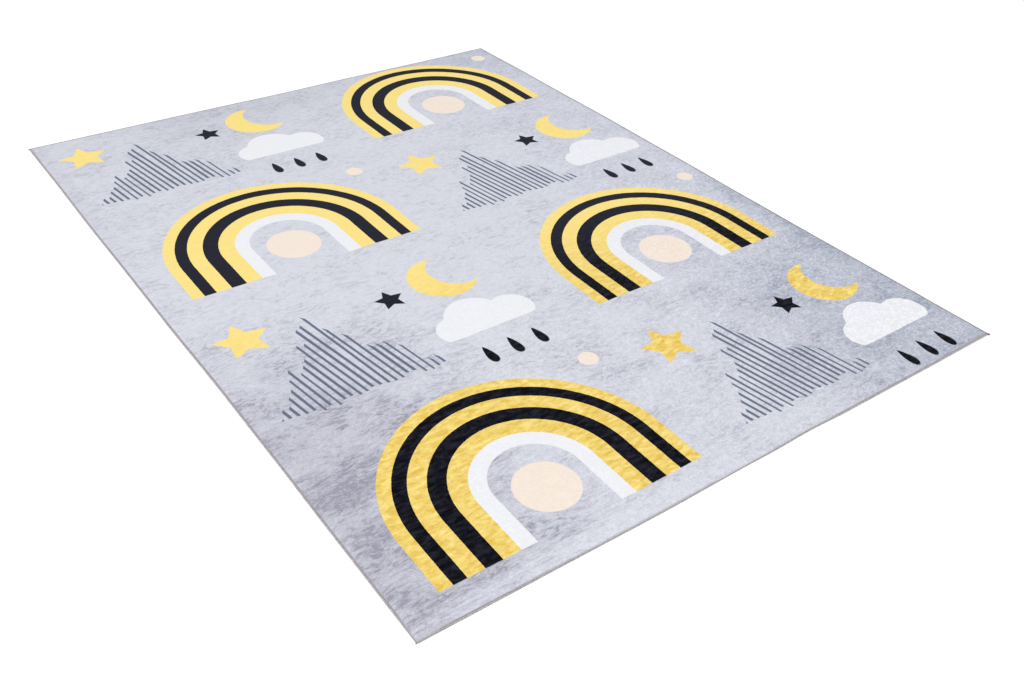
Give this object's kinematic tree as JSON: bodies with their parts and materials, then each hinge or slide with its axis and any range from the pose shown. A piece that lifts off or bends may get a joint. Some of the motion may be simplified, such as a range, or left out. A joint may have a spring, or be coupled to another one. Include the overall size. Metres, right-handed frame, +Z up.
{
  "type": "printed kids rug with overlocked edge",
  "caption": "Flat rectangular short-pile printed rug with an overlocked edge, lying on the floor with a few low waves.",
  "frame": {"origin": "middle of the underside, on the floor", "axes": "+Z up out of the pile, +Y along the length to the far short edge, +X along the width to the right"},
  "size_m": [1.206, 1.603, 0.0067],
  "materials": {
    "printed_pile": "short velvety polyester pile, printed in grey, yellow, black, white and pale pink, on a plain woven backing",
    "overlock_yarn": "matt taupe polyester overlock yarn"
  },
  "bodies": {
    "root": {"rug_panel": "printed_pile", "overlock_front": "overlock_yarn", "overlock_back": "overlock_yarn", "overlock_left": "overlock_yarn", "overlock_right": "overlock_yarn"}
  },
  "joints": []
}
